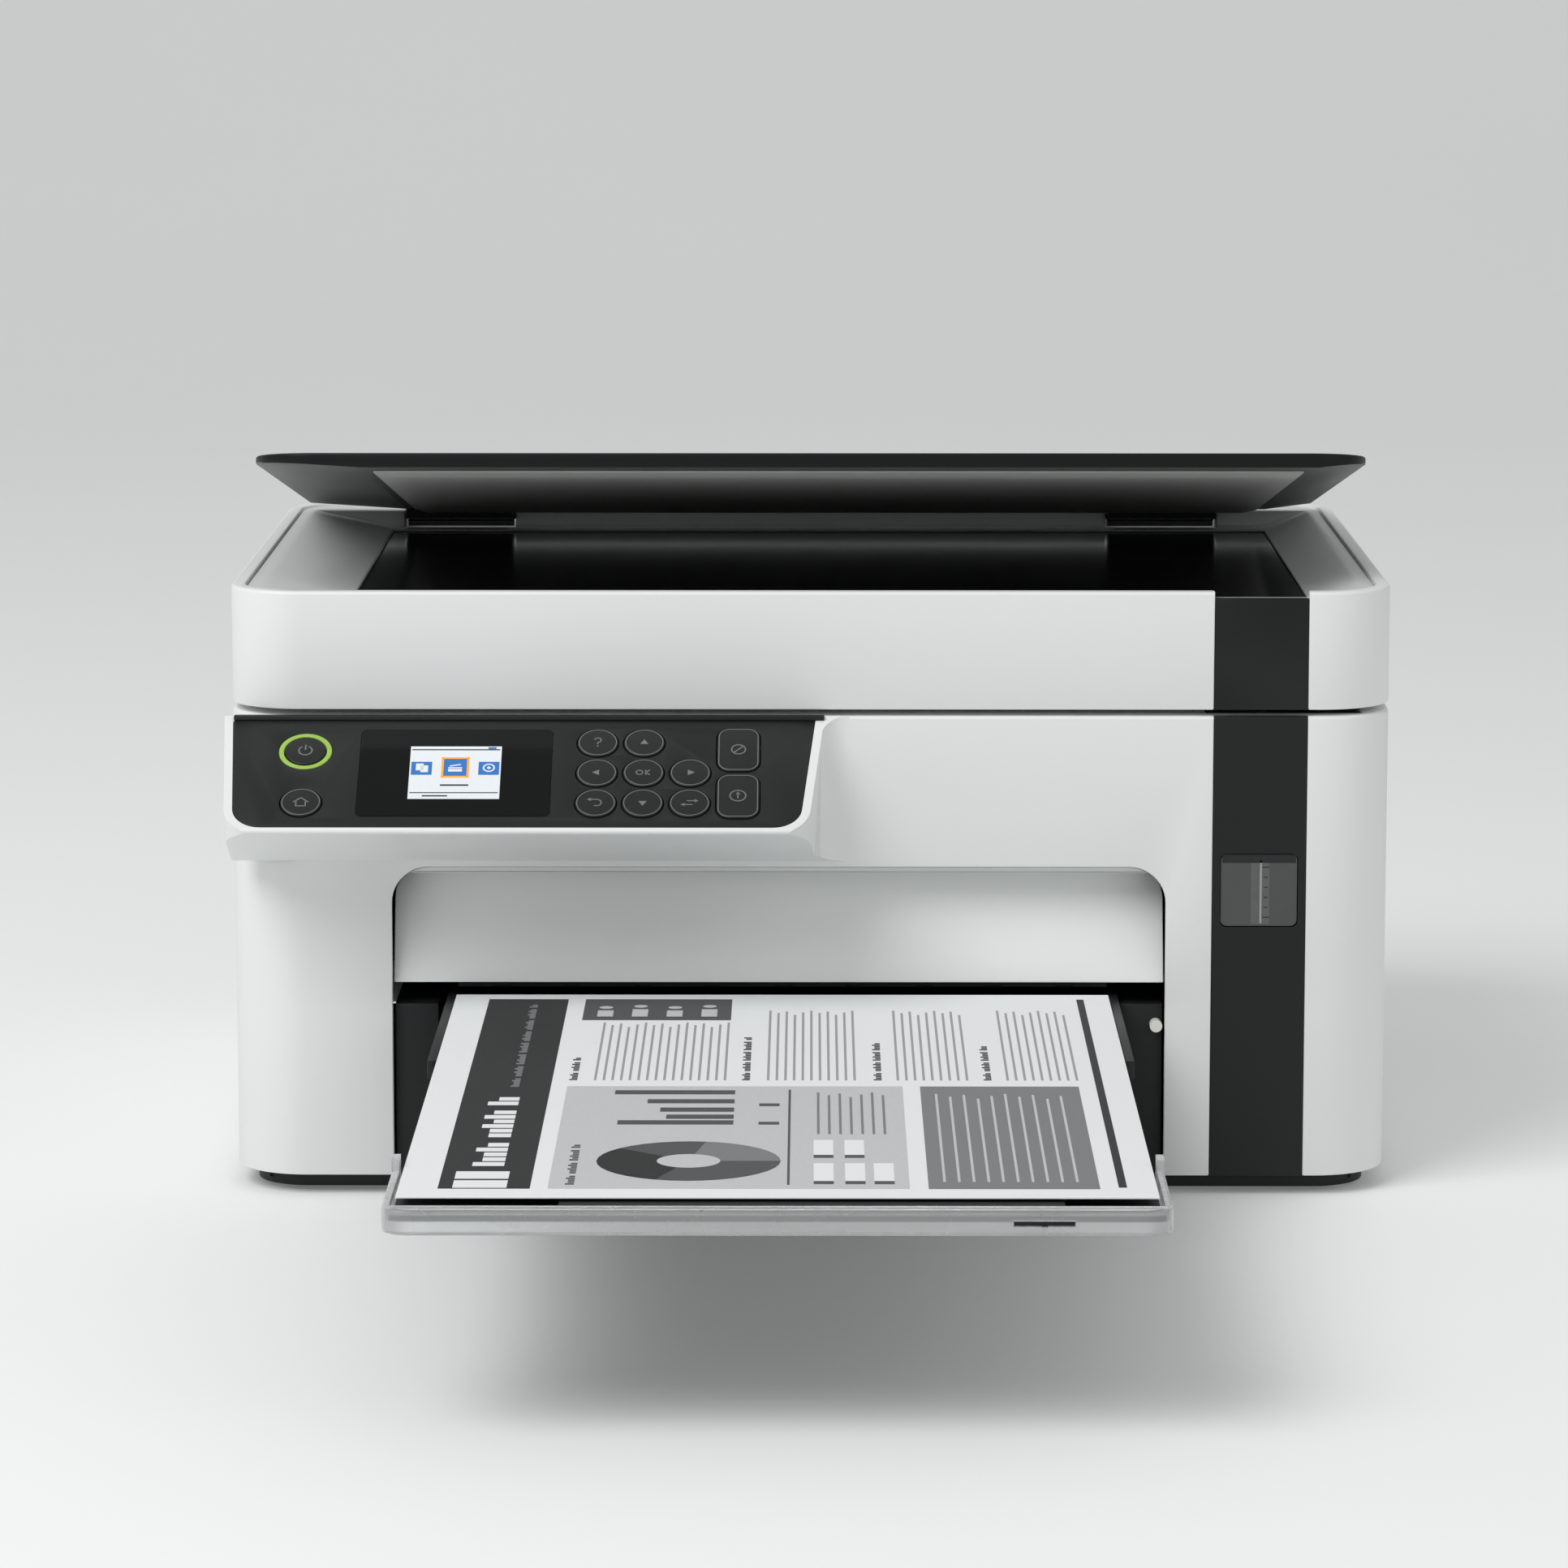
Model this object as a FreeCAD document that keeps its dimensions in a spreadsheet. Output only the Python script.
import FreeCAD, Part

import math
import os
import re

import Sketcher
from FreeCAD import Placement, Rotation, Vector

# Driving sizes, in millimetres and degrees. X runs to the right, the front faces -Y, Z is up,
# and the origin is the centre of the footprint at desk level.
SIZES = (
    ("case_wide", 375, "housing, side to side"),
    ("case_deep", 300, "housing, front to back"),
    ("case_top", 157.1, "height of the lower body's deck"),
    ("shell", 2.5, "wall of the moulded covers"),
    ("corner_round", 24, "plan radius of the housing's corners"),
    ("edge_round", 1.2, "softened outer edges"),
    ("skirt_height", 6.5, "height of the housing's bottom edge"),
    ("base_inset", 6.5, "base set in from the housing's faces"),
    ("foot_proud", 1.5, "feet below the base"),
    ("foot_radius", 9, "rubber foot"),
    ("foot_in", 40, "foot centre in from the housing's faces"),
    ("fit_gap", 0.3, "gap round a seated piece"),
    ("slide_gap", 0.6, "gap beside a sliding piece"),
    ("run_gap", 0.06, "radial gap of a turning shaft"),
    ("screw_in", 15, "screw centre in from the housing's faces"),
    ("screw_radius", 1.5, "screw shank"),
    ("head_radius", 2.8, "screw head"),
    ("boss_radius", 5, "screw boss"),
    ("boss_low", 20, "height where the bosses meet"),
    ("column_in", 58.1, "dark column's left edge from the right face"),
    ("column_wide", 30.3, "dark column"),
    ("window_low", 88.5, "ink window, lower edge"),
    ("window_tall", 24, "ink window"),
    ("window_side", 2.6, "ink window in from the column's edges"),
    ("post_wide", 52.5, "front wall left of the bay"),
    ("bay_post", 14.8, "front wall between bay and column"),
    ("bay_top", 108, "top of the front bay"),
    ("bay_low", 7, "floor of the front bay"),
    ("bay_round", 12, "upper corners of the bay"),
    ("mouth_top", 69.6, "lower edge of the sloped front panel"),
    ("slope_top", 16, "sloped panel set back at its top"),
    ("slope_low", 3, "sloped panel set back at its foot"),
    ("panel_thick", 2, "sloped panel and its returns"),
    ("guide_wide", 14, "side guide in the bay"),
    ("guide_long", 128, "side guide, front to back"),
    ("tray_low", 59, "underside of the output tray"),
    ("tray_tall", 7, "front bar of the output tray"),
    ("tray_side", 16.3, "tray's side in from the bay's side"),
    ("tray_shift", 1.2, "tray to the right of the bay's middle"),
    ("tray_wall", 2.2, "tray side walls"),
    ("plate", 2, "tray plates"),
    ("tray_travel", 172, "travel of the tray"),
    ("tray_long", 185, "tray, front to back"),
    ("reach_travel", 141, "travel of the extension"),
    ("reach_long", 161, "extension, front to back"),
    ("reach_arm", 57, "side arms of the clear front"),
    ("reach_bar", 6, "clear front's bar, front to back"),
    ("sheet_gap", 1.3, "sheet's side inside the tray's walls"),
    ("sheet_long", 297, "sheet, front to back"),
    ("sheet_out", 301, "sheet's leading edge ahead of the front"),
    ("sheet_thick", 0.3, "sheet with its slight curl"),
    ("cassette_low", 9, "underside of the paper cassette"),
    ("cassette_tall", 45, "paper cassette"),
    ("cassette_long", 255, "paper cassette, front to back"),
    ("panel_tilt", 33, "control panel's slope"),
    ("face_in", 2.5, "panel face in from the left side"),
    ("face_wide", 186.6, "panel face at its top"),
    ("face_long", 53, "panel face down its slope"),
    ("face_taper_left", 3.3, "panel face narrows at the left"),
    ("face_taper_right", 5.3, "panel face narrows at the right"),
    ("face_round", 9, "lower corners of the panel face"),
    ("face_thick", 1.6, "panel face"),
    ("lip", 3, "white rim round the panel face"),
    ("panel_blend", 9, "hollow curve between the panel housing's right side and the front wall"),
    ("chin", 110, "height where the panel's underside meets the front"),
    ("key_radius", 6.5, "round key"),
    ("key_proud", 0.4, "keys above the panel face"),
    ("key_deep", 3.4, "keys below the panel face"),
    ("key_gap", 0.35, "gap round a key"),
    ("key_round", 0.4, "keys' softened edges"),
    ("key_pitch", 14.85, "keypad pitch across"),
    ("key_step", 14.35, "keypad pitch down the slope"),
    ("pad_in", 132, "keypad's centre from the face's left edge"),
    ("pad_down", 27.6, "keypad's centre down the slope"),
    ("power_in", 24, "power key from the face's left edge"),
    ("power_down", 17.2, "power key down the slope"),
    ("power_step", 24.5, "power key to home key"),
    ("ring_wide", 1.6, "light ring round the power key"),
    ("bar_key_in", 162.1, "tall keys from the face's left edge"),
    ("bar_key_wide", 13.6, "tall key across"),
    ("bar_key_tall", 20.5, "tall key down the slope"),
    ("bar_key_step", 22.1, "pitch of the tall keys"),
    ("bar_key_round", 4.5, "tall key's corners"),
    ("lcd_in", 41.4, "display window from the face's left edge"),
    ("lcd_wide", 61.4, "display window"),
    ("lcd_down", 6.7, "display window down the slope"),
    ("lcd_long", 41.4, "display window down the slope, length"),
    ("lcd_thick", 1.4, "display window"),
    ("board_drop", 6.5, "panel circuit board below the face"),
    ("board_thick", 1.6, "circuit boards"),
    ("seam", 2.1, "gap between the lower body and the scanner unit"),
    ("scanner_tall", 38.1, "scanner unit to the top of its rim"),
    ("scanner_back", 30, "scanner unit ends this far before the back"),
    ("rim", 4.6, "scanner unit's rim"),
    ("rim_notch", 2.2, "rim lowered at the dark column"),
    ("bezel_drop", 6.3, "glass bezel's floor below the rim"),
    ("bezel_tall", 5, "glass bezel"),
    ("ramp_left", 28, "sloped left flank of the bezel"),
    ("ramp_right", 15, "sloped right flank of the bezel"),
    ("flank", 9.5, "bezel's flanks in from the sides"),
    ("glass_left", 38.5, "glass in from the left side"),
    ("glass_right", 25.5, "glass in from the right side"),
    ("glass_front", 14, "glass behind the front"),
    ("glass_deep", 219, "visible glass, front to back"),
    ("glass_thick", 3, "glass"),
    ("glass_seat", 3, "glass held under the bezel"),
    ("ridge_half", 106, "half width of the ridge between the lid hinges"),
    ("hinge_wide", 40, "lid hinge pocket"),
    ("hinge_back", 46, "lid hinge axis ahead of the back face"),
    ("hinge_drop", 3.3, "lid hinge axis below the rim"),
    ("hinge_radius", 4, "lid hinge barrel"),
    ("hinge_pin", 1.5, "lid hinge pin"),
    ("lid_open", 9.5, "lid's resting angle"),
    ("lid_half", 180, "half width of the lid"),
    ("lid_long", 243, "lid ahead of its hinge axis"),
    ("lid_proud", 3, "lid's top above the rim when shut"),
    ("lid_thick", 4.8, "lid at its middle"),
    ("lid_wing", 2.6, "lid at its outer edges"),
    ("lid_round", 20, "lid's front corners"),
    ("lid_edge", 0.8, "lid's softened top edge"),
    ("pad_thick", 3.4, "lid pad"),
    ("pad_left", 38, "lid pad in from the lid's left edge"),
    ("pad_right", 20, "lid pad in from the lid's right edge"),
    ("pad_front", 12, "lid pad behind the lid's front edge"),
    ("pad_deep", 214, "lid pad, front to back"),
    ("tank_deep", 32, "ink tank, front to back"),
    ("tank_low", 15, "underside of the ink tank"),
    ("tank_tall", 112, "ink tank"),
    ("tank_wall", 2, "ink tank"),
    ("filler_radius", 8, "ink tank's filler neck"),
    ("filler_tall", 9, "ink tank's filler neck above the tank"),
    ("sheet_metal", 1.5, "frame plates"),
    ("frame_left", 15.5, "frame's left plate in from the side"),
    ("frame_right", 21, "frame's right plate in from the side"),
    ("frame_back", 138, "frame's back plate behind the front"),
    ("frame_low", 62, "underside of the frame plates"),
    ("frame_top", 150, "top of the frame plates"),
    ("rod_back", 122, "guide rod behind the front"),
    ("rod_high", 101, "guide rod's height"),
    ("rod_radius", 4, "guide rod"),
    ("roller_high", 76, "height of the feed and exit rollers"),
    ("roller_radius", 6, "rubber of the feed and exit rollers"),
    ("shaft_radius", 3, "roller shafts"),
    ("pinch_radius", 3.5, "pinch roller"),
    ("star_radius", 5.5, "star wheel"),
    ("gear_module", 1, "gear module"),
    ("feed_teeth", 40, "teeth of the feed and exit gears"),
    ("idler_teeth", 50, "teeth of the idler gear"),
    ("pinion_teeth", 14, "teeth of the motor pinion"),
    ("gear_thick", 4, "gears"),
    ("backlash", 0.3, "tooth play"),
    ("carriage_wide", 70, "print carriage"),
    ("carriage_park", 42, "parked carriage in from the right face"),
    ("carriage_low", 84, "underside of the print carriage"),
    ("carriage_tall", 52, "print carriage"),
    ("carriage_front", 46, "print carriage behind the front"),
    ("carriage_deep", 64, "print carriage, front to back"),
    ("belt_high", 128, "carriage belt's centre height"),
    ("belt_radius", 7, "carriage belt round its pulleys"),
    ("belt_thick", 1, "carriage belt"),
    ("belt_wide", 6, "carriage belt"),
    ("motor_radius", 15, "motors"),
    ("motor_long", 26, "motors"),
    ("bar_wide", 18, "scan bar"),
    ("bar_tall", 13, "scan bar"),
    ("scan_rod_radius", 3, "scan bar's rod"),
    ("cover_wide", 190, "rear cover"),
    ("cover_low", 20, "rear cover's lower edge"),
    ("cover_tall", 100, "rear cover"),
)

ALIASES = [alias for alias, value, note in SIZES]
DOC = FreeCAD.newDocument("InkjetPrinter")
SHEET = DOC.addObject("Spreadsheet::Sheet", "Sizes")
NODES = []

LEFT = "(-case_wide / 2)"
RIGHT = "(case_wide / 2)"
FRONT = "(-case_deep / 2)"
BACK = "(case_deep / 2)"
COLUMN = (f"({RIGHT} - column_in)", f"({RIGHT} - column_in + column_wide)")
BAY = (f"({LEFT} + post_wide)", f"({COLUMN[0]} - bay_post)")
RIM_TOP = "(case_top + seam + scanner_tall)"
UNIT_BACK = f"({BACK} - scanner_back)"
ROD_Y = f"({FRONT} + rod_back)"
TRAY_TOP = "(tray_low + tray_tall)"
HINGE_Y = f"({BACK} - hinge_back)"
HINGE_Z = f"({RIM_TOP} - hinge_drop)"


def fill_sheet():
    for row, (alias, value, note) in enumerate(SIZES, start=1):
        SHEET.set(f"A{row}", note)
        SHEET.set(f"B{row}", str(value))
        SHEET.setAlias(f"B{row}", alias)
    DOC.recompute()


def size(alias):
    return float(SHEET.get(alias))


def bind(thing, prop, text):
    """Tie a property to an expression in which sizes stand by their names."""
    words = re.sub(r"[a-z_]+", lambda m: "Sizes." + m[0] if m[0] in ALIASES else m[0], str(text))
    thing.setExpression(prop, words)


def place(thing, x="0", y="0", z="0"):
    for letter, text in zip("xyz", (x, y, z)):
        bind(thing, f"Placement.Base.{letter}", text)
    return thing


def box(name, x, y, z):
    """A block between pairs of low and high expressions."""
    thing = DOC.addObject("Part::Box", name)
    for prop, (low, high) in zip(("Length", "Width", "Height"), (x, y, z)):
        bind(thing, prop, f"({high}) - ({low})")
    return place(thing, x[0], y[0], z[0])


TURNS = {
    "X": Rotation(Vector(0, 1, 0), 90),
    "Y": Rotation(Vector(1, 0, 0), -90),
    "Z": Rotation(),
}


def rod(name, axis, at, ends, radius):
    """A cylinder along an axis, at two cross coordinates, between two ends."""
    thing = DOC.addObject("Part::Cylinder", name)
    thing.Placement = Placement(Vector(), TURNS[axis])
    bind(thing, "Radius", radius)
    bind(thing, "Height", f"({ends[1]}) - ({ends[0]})")
    spots = list(at)
    spots.insert("XYZ".index(axis), ends[0])
    return place(thing, *spots)


def fuse(name, *parts):
    thing = DOC.addObject("Part::MultiFuse", name)
    thing.Shapes = list(parts)
    return thing


def group(name, *parts):
    """Separate solids kept together as one piece."""
    thing = DOC.addObject("Part::Compound", name)
    thing.Links = list(parts)
    return thing


def cut(name, base, *tools):
    thing = DOC.addObject("Part::Cut", name)
    thing.Base = base
    thing.Tool = tools[0] if len(tools) == 1 else fuse(name + "_tools", *tools)
    return thing


def common(name, base, tool):
    thing = DOC.addObject("Part::Common", name)
    thing.Base = base
    thing.Tool = tool
    return thing


def node(thing, label):
    thing.Label = label
    NODES.append(thing)
    return thing


PLANES = {"XY": "XY_Plane", "XZ": "XZ_Plane", "YZ": "YZ_Plane"}


def sketch_on(body, plane, offset):
    """A sketch on one of the body's own planes, lifted along the plane's normal."""
    sketch = body.newObject("Sketcher::SketchObject", body.Name + "_outline")
    support = [f for f in body.Origin.OriginFeatures if f.Role == PLANES[plane]][0]
    sketch.AttachmentSupport = [(support, "")]
    sketch.MapMode = "FlatFace"
    bind(sketch, "AttachmentOffset.Base.z", offset)
    return sketch


def outline(sketch, points):
    """Straight edges through points whose coordinates are expressions."""
    DOC.recompute()
    spots = [(number(x), number(y)) for x, y in points]
    last = len(points) - 1
    for k, (x, y) in enumerate(spots):
        ahead = spots[0] if k == last else spots[k + 1]
        sketch.addGeometry(Part.LineSegment(Vector(x, y, 0), Vector(*ahead, 0)), False)
    for k in range(len(points)):
        ahead = 0 if k == last else k + 1
        sketch.addConstraint(Sketcher.Constraint("Coincident", k, 2, ahead, 1))
    for k, (x, y) in enumerate(points):
        for kind, text, spot in (("DistanceX", x, spots[k][0]), ("DistanceY", y, spots[k][1])):
            at = sketch.addConstraint(Sketcher.Constraint(kind, -1, 1, k, 1, spot))
            bind(sketch, f"Constraints[{at}]", text)


def number(text):
    """The present value of an expression."""
    value = SHEET.evalExpression(text)
    return float(getattr(value, "Value", value))


def pad(name, plane, points, ends):
    """A body: an outline on a plane, padded between two places along the plane's axis."""
    body = DOC.addObject("PartDesign::Body", name)
    low, high = ends
    offset = f"-({high})" if plane == "XZ" else low
    sketch = sketch_on(body, plane, offset)
    outline(sketch, points)
    feature = body.newObject("PartDesign::Pad", name + "_pad")
    feature.Profile = sketch
    bind(feature, "Length", f"({high}) - ({low})")
    DOC.recompute()
    return body


def soften(body, radius, wanted):
    """Fillet the edges of a body's last feature that a test picks out."""
    DOC.recompute()
    tip = body.Tip
    names = [f"Edge{k}" for k, e in enumerate(tip.Shape.Edges, start=1) if wanted(e)]
    feature = body.newObject("PartDesign::Fillet", tip.Name + "_fillet")
    feature.Base = (tip, names)
    bind(feature, "Radius", radius)
    DOC.recompute()
    return body


def along(axis):
    """A test for straight edges that run along an axis."""
    direction = Vector(*(float(letter == axis) for letter in "XYZ"))

    def test(edge):
        if edge.Curve.TypeId != "Part::GeomLine":
            return False
        return abs(abs(edge.Curve.Direction.dot(direction)) - 1) < 1e-6

    return test


def both(*tests):
    return lambda edge: all(test(edge) for test in tests)


def beyond(axis, limit, side):
    """A test for edges whose middle lies past a place along an axis."""
    k = "XYZ".index(axis)
    return lambda edge: side * (edge.BoundBox.Center[k] - limit) > 0


def level(axis, spot):
    """A test for edges that lie wholly at one place along an axis."""
    k = "XYZ".index(axis)

    def test(edge):
        return all(abs(v.Point[k] - spot) < 1e-4 for v in edge.Vertexes)

    return test


def rectangle(x, y):
    return [(x[0], y[0]), (x[1], y[0]), (x[1], y[1]), (x[0], y[1])]


def rounded(name, x, y, z, radius, top_round=None):
    """A block with rounded upright corners and, if wanted, a softened top edge."""
    body = soften(pad(name, "XY", rectangle(x, y), z), radius, along("Z"))
    if top_round:
        soften(body, top_round, level("Z", body.Shape.BoundBox.ZMax))
    return body


def inside(pair, gap):
    return (f"({pair[0]} + ({gap}))", f"({pair[1]} - ({gap}))")


def tilted(thing):
    """Carry a piece drawn on the level to the control panel's slope."""
    thing.Placement = Placement(Vector(), Rotation(Vector(1, 0, 0), 1))
    place(thing, z="case_top", y=FRONT)
    bind(thing, "Placement.Rotation.Angle", "panel_tilt")
    return thing


def lifted(thing):
    """Carry a piece drawn closed, from the lid's hinge axis, to the lid's resting angle."""
    thing.Placement = Placement(Vector(), Rotation(Vector(-1, 0, 0), 1))
    place(thing, y=HINGE_Y, z=HINGE_Z)
    bind(thing, "Placement.Rotation.Angle", "lid_open")
    return thing


fill_sheet()

# ---------------------------------------------------------------- base and feet
BASE_X = (f"({LEFT} + base_inset)", f"({RIGHT} - base_inset)")
BASE_Y = (f"({FRONT} + base_inset)", f"({BACK} - base_inset)")
FEET = [(sx, sy) for sx in ("-1", "1") for sy in ("-1", "1")]
FOOT_SPOTS = [
    (f"({sx} * (case_wide / 2 - foot_in))", f"({sy} * (case_deep / 2 - foot_in))") for sx, sy in FEET
]
SCREW_SPOTS = [
    (f"({sx} * (case_wide / 2 - screw_in))", f"({sy} * (case_deep / 2 - screw_in))") for sx, sy in FEET
]


def make_base():
    outer = rounded(
        "base_outer", BASE_X, BASE_Y, ("foot_proud", "bay_low - 0.1"), "corner_round - base_inset"
    )
    inner = rounded(
        "base_inner",
        (f"{BASE_X[0]} + shell", f"{BASE_X[1]} - shell"),
        (f"{BASE_Y[0]} + shell", f"{BASE_Y[1]} - shell"),
        ("foot_proud + shell", "bay_low + 1"),
        "corner_round - base_inset - shell",
    )
    floor = cut("base_floor", outer, inner)
    posts = [
        rod(f"base_post_{k}", "Z", at, ("foot_proud + shell - 0.5", "boss_low"), "boss_radius")
        for k, at in enumerate(SCREW_SPOTS)
    ]
    holes = [
        rod(f"base_hole_{k}", "Z", at, ("0", "boss_low + 1"), "screw_radius + 0.2")
        for k, at in enumerate(SCREW_SPOTS)
    ]
    sinks = [
        rod(f"base_sink_{k}", "Z", at, ("0", "foot_proud + shell"), "head_radius + fit_gap")
        for k, at in enumerate(SCREW_SPOTS)
    ]
    wells = [
        rod(f"base_well_{k}", "Z", at, ("0", "foot_proud + 1"), "foot_radius")
        for k, at in enumerate(FOOT_SPOTS)
    ]
    return node(cut("base", fuse("base_posted", floor, *posts), *holes, *sinks, *wells), "base_tray")


def make_feet():
    feet = [
        rod(f"foot_{k}", "Z", at, ("0", "foot_proud + 1"), "foot_radius - 0.1")
        for k, at in enumerate(FOOT_SPOTS)
    ]
    return node(group("feet", *feet), "rubber_feet")


def make_screws():
    screws = []
    for k, at in enumerate(SCREW_SPOTS):
        head = rod(f"screw_head_{k}", "Z", at, ("foot_proud + 0.4", "foot_proud + shell"), "head_radius")
        shank = rod(f"screw_shank_{k}", "Z", at, ("foot_proud + 0.4", "boss_low + 12"), "screw_radius")
        screws.append(fuse(f"screw_{k}", head, shank))
    return node(group("screws", *screws), "housing_screws")


# ---------------------------------------------------------------- white housing
def make_housing():
    outer = rounded(
        "housing_outer", (LEFT, RIGHT), (FRONT, BACK), ("skirt_height", "case_top"),
        "corner_round", "edge_round",
    )
    inner = rounded(
        "housing_inner",
        (f"{LEFT} + shell", f"{RIGHT} - shell"),
        (f"{FRONT} + shell", f"{BACK} - shell"),
        ("skirt_height - 1", "case_top - shell"),
        "corner_round - shell",
    )
    bay = soften(
        pad("housing_bay", "XZ", rectangle(BAY, ("skirt_height - 1", "bay_top")),
            (f"{FRONT} - 1", f"{FRONT} + shell + 1")),
        "bay_round", both(along("Y"), beyond("Z", size("mouth_top"), 1)),
    )
    slot = box("housing_slot", COLUMN, (f"{FRONT} - 1", f"{FRONT} + shell + 0.5"), ("0", "case_top + 1"))
    deck = box(
        "housing_deck",
        (f"{LEFT} + frame_left + 10", f"{COLUMN[0]} - 6"),
        (f"{FRONT} + 26", f"{FRONT} + frame_back - 8"),
        ("case_top - shell - 1", "case_top + 1"),
    )
    well = box(
        "housing_well",
        (f"{COLUMN[0]} - 2", f"{RIGHT} - 10"),
        (f"{FRONT} + 8", f"{FRONT} + tank_deep + 8"),
        ("case_top - shell - 1", "case_top + 1"),
    )
    rear = box("housing_rear", COVER_X, (f"{BACK} - shell - 1", f"{BACK} + 1"), COVER_Z)
    inlet = box("housing_inlet", INLET_X, (f"{BACK} - shell - 1", f"{BACK} + 1"), INLET_Z)
    port = box("housing_port", PORT_X, (f"{BACK} - shell - 1", f"{BACK} + 1"), PORT_Z)
    vents = [
        box(f"housing_vent_{k}", (f"{RIGHT} - shell - 1", f"{RIGHT} + 1"),
            (f"{BACK} - {110 - 9 * k}", f"{BACK} - {107 - 9 * k}"), ("30", "62"))
        for k in range(9)
    ]
    shell = cut("housing_shell", outer, inner, bay, slot, deck, well, rear, inlet, port, *vents)
    bosses = []
    for k, (at, (sx, sy)) in enumerate(zip(SCREW_SPOTS, FEET)):
        boss = rod(f"boss_{k}", "Z", at, ("boss_low", "boss_low + 16"), "boss_radius")
        wall = f"({sx} * (case_wide / 2 - shell - 1))"
        low, high = (wall, at[0]) if sx == "-1" else (at[0], wall)
        rib = box(f"boss_rib_{k}", (low, high), (f"{at[1]} - 1.5", f"{at[1]} + 1.5"),
                  ("boss_low", "boss_low + 16"))
        bosses += [boss, rib]
    holes = [
        rod(f"boss_hole_{k}", "Z", at, ("boss_low - 1", "boss_low + 13"), "screw_radius + 0.05")
        for k, at in enumerate(SCREW_SPOTS)
    ]
    ears, pins = make_hinge_ears()
    return node(cut("housing", fuse("housing_bossed", shell, *bosses, *ears), *holes, *pins), "main_housing")


COVER_X = (f"(({BAY[0]} + {BAY[1]}) / 2 - cover_wide / 2)", f"(({BAY[0]} + {BAY[1]}) / 2 + cover_wide / 2)")
COVER_Z = ("cover_low", "(cover_low + cover_tall)")
INLET_X = (f"({RIGHT} - 62)", f"({RIGHT} - 34)")
INLET_Z = ("24", "42")
PORT_X = (f"({LEFT} + 30)", f"({LEFT} + 44)")
PORT_Z = ("44", "57")


def make_recess_panel():
    """The white panel above the paper exit, with its roof, cut to the bay's rounded outline."""
    top_y = f"({FRONT} + slope_top)"
    low_y = f"({FRONT} + slope_low)"
    front = f"({FRONT} + shell)"
    profile = [
        (front, "bay_top - fit_gap"),
        (front, "bay_top - fit_gap - panel_thick"),
        (top_y, "bay_top - fit_gap - panel_thick"),
        (low_y, "mouth_top"),
        (f"{low_y} + 6", "mouth_top"),
        (f"{low_y} + 6", "mouth_top + panel_thick"),
        (f"{low_y} + panel_thick + 0.6", "mouth_top + panel_thick"),
        (f"{top_y} + panel_thick", "bay_top - fit_gap"),
    ]
    sweep = pad("recess_profile", "YZ", profile, BAY)
    mask = soften(
        pad("recess_mask", "XZ", rectangle(inside(BAY, "fit_gap"), ("mouth_top - 5", "bay_top - fit_gap")),
            (FRONT, f"{FRONT} + slope_top + 20")),
        "bay_round", both(along("Y"), beyond("Z", size("mouth_top") + 5, 1)),
    )
    return node(common("recess", sweep, mask), "front_recess_panel")


def make_side_guides():
    """Dark blocks each side of the bay, with a ledge that carries the tray's edge."""
    guides = []
    for k, (wall, sign) in enumerate(((BAY[0], "1"), (BAY[1], "-1"))):
        near = f"({wall} + {sign} * 0.6)"
        far = f"({wall} + {sign} * (guide_wide + 0.6))"
        ledge = f"({wall} + {sign} * (guide_wide + 6))"
        spans = ((near, far), (near, ledge))
        if sign == "-1":
            spans = ((far, near), (ledge, near))
        y = (f"{FRONT} + shell + 1", f"{FRONT} + guide_long")
        block = box(f"guide_block_{k}", spans[0], y, ("bay_low + 0.5", "tray_low + 3.5"))
        shelf = box(f"guide_shelf_{k}", spans[1], (f"{FRONT} + 20", y[1]),
                    ("tray_low - 3", "tray_low - slide_gap"))
        guides.append(fuse(f"guide_{k}", block, shelf))
    return node(group("guides", *guides), "tray_side_guides")


# ---------------------------------------------------------------- dark column and ink tank
def make_column():
    """The dark strip of the lower body, seated in the housing's slot, with the window opening."""
    x = inside(COLUMN, "0.15")
    strip = box("column_strip", x, (FRONT, f"{FRONT} + shell"), ("skirt_height", "case_top"))
    window = rounded_window("column_window", "0", (f"{FRONT} - 1", f"{FRONT} + shell + 1"))
    strip = cut("column", strip, window)
    node(strip, "ink_window_panel")
    lens = rounded_window("lens", "fit_gap", (f"{FRONT} + 0.5", f"{FRONT} + shell"))
    node(lens, "ink_window_lens")


def rounded_window(name, gap, y):
    x = (f"{COLUMN[0]} + window_side + {gap}", f"{COLUMN[1]} - window_side - {gap}")
    z = (f"window_low + {gap}", f"window_low + window_tall - {gap}")
    return soften(pad(name, "XZ", rectangle(x, z), y), "2", along("Y"))


TANK_X = (f"({COLUMN[0]} - 6)", f"({RIGHT} - screw_in - boss_radius - 2.5)")
TANK_Y = (f"({FRONT} + shell + 1)", f"({FRONT} + shell + 1 + tank_deep)")
FILLER = (f"({COLUMN[0]} + column_wide / 2)", f"({FRONT} + shell + 1 + tank_deep / 2)")
TANK_TOP = "(tank_low + tank_tall)"


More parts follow.
